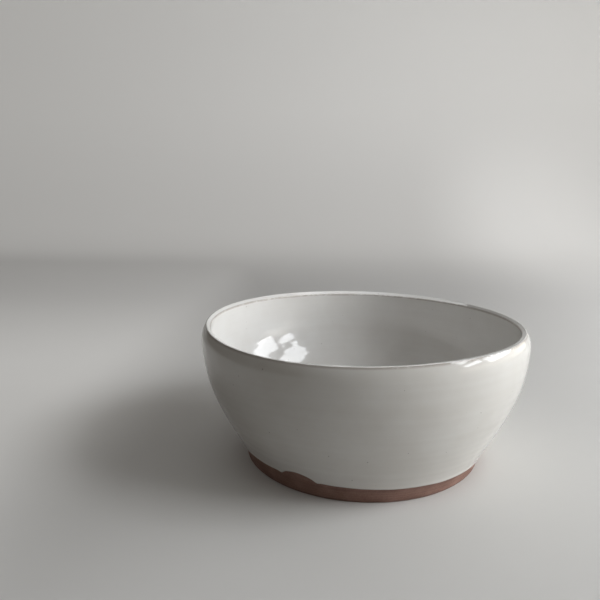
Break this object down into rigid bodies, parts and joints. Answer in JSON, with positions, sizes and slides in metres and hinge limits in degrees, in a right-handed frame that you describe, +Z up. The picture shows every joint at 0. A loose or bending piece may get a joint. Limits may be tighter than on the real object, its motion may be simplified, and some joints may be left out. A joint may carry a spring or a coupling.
{
  "type": "prep bowl",
  "caption": "Round wheel-thrown stoneware prep bowl with a glossy white glaze, a slightly turned-in rim and a bare trimmed clay foot to stand on.",
  "frame": {"origin": "centre of the foot's standing face, on the surface that the bowl stands on", "axes": "+Z up along the axis that the bowl was turned on, -Y towards the viewer of the picture"},
  "size_m": [0.152, 0.152, 0.0645],
  "materials": {
    "bare_clay": "matte, fired red-brown stoneware",
    "white_glaze": "glossy off-white glaze"
  },
  "bodies": {
    "root": {"clay_body": "bare_clay", "inner_glaze": "white_glaze", "outer_glaze": "white_glaze"}
  },
  "joints": []
}
